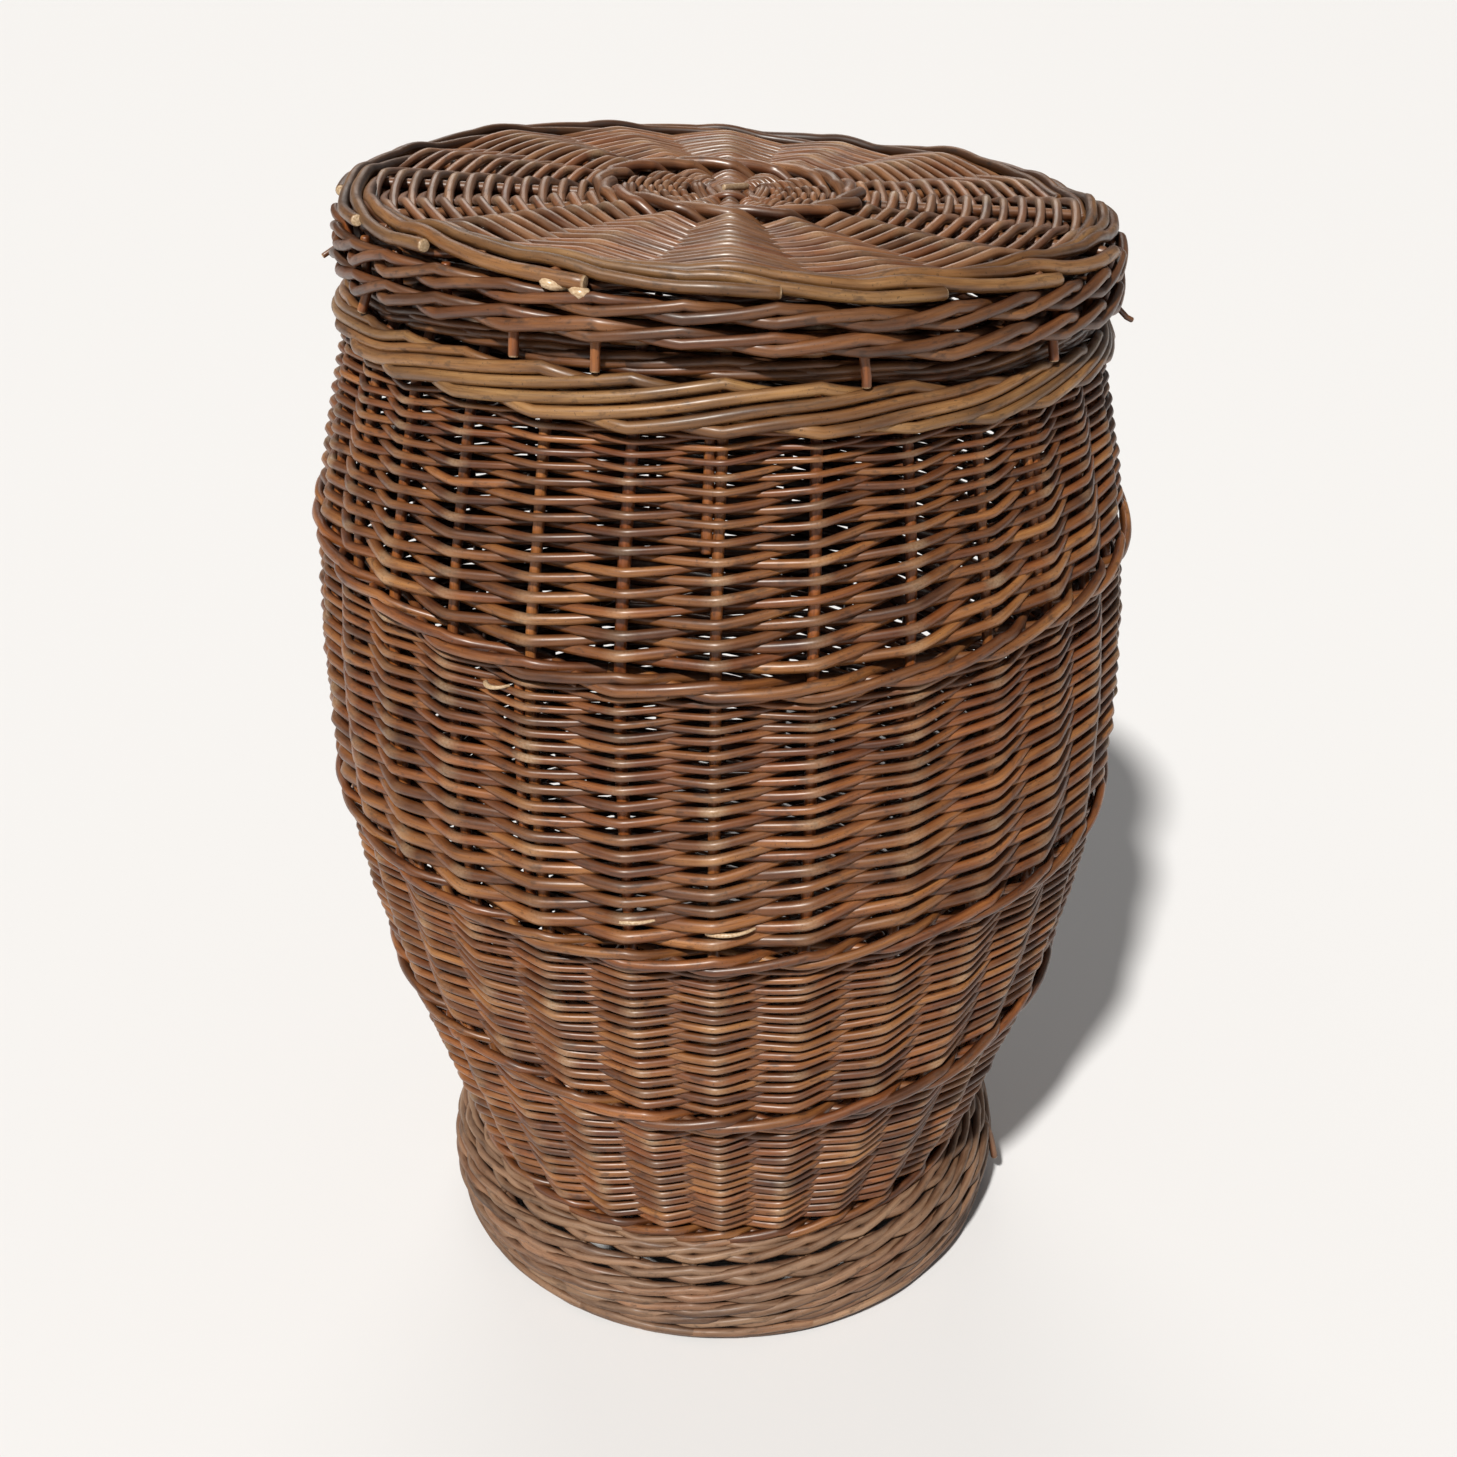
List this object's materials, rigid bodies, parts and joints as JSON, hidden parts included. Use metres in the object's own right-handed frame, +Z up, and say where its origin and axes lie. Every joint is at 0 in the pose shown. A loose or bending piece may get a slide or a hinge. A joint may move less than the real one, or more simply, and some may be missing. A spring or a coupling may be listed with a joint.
{
  "type": "laundry hamper with lid",
  "caption": "Barrel-shaped woven willow laundry hamper on a flared foot ring, with a waled ledge, a recessed neck and a round lift-off woven lid.",
  "frame": {"origin": "centre of the resting plane under the foot border, on the barrel's axis", "axes": "+Z up along the barrel's axis, towards the lid; -Y is the side that the picture shows as the front (the hamper is round, so X and Y are otherwise free)"},
  "size_m": [0.468, 0.4678, 0.662],
  "materials": {
    "body_willow": "semi-gloss varnished brown willow",
    "stake_willow": "varnished brown willow rods",
    "ledge_willow": "semi-gloss varnished pale brown willow",
    "lid_willow": "varnished willow, dulled on top by handling",
    "foot_willow": "dusty, dulled willow"
  },
  "bodies": {
    "root": {"foot_border": "foot_willow", "foot_weave": "foot_willow", "foot_stakes": "foot_willow", "base_sticks_lower": "stake_willow", "base_sticks_upper": "stake_willow", "base_weave": "body_willow", "upsett_wale": "body_willow", "body_weave_1": "body_willow", "body_weave_2": "body_willow", "body_weave_3": "body_willow", "body_weave_4": "body_willow", "lower_wale": "body_willow", "middle_wale": "body_willow", "upper_wale": "body_willow", "ledge_wale": "ledge_willow", "body_stakes": "stake_willow", "neck_weave": "body_willow", "neck_border": "body_willow"},
    "lid": {"lid_sticks_lower": "lid_willow", "lid_sticks_upper": "lid_willow", "lid_centre_weave": "lid_willow", "lid_ring_wale": "lid_willow", "lid_weave": "lid_willow", "lid_border": "ledge_willow", "lid_skirt_wale": "ledge_willow", "lid_skirt_stakes": "stake_willow"}
  },
  "joints": [
    {"name": "lid_lift", "type": "slide", "parent": "root", "child": "lid", "axis": [0, 0, 1], "range_m": [0, 0.25]}
  ]
}
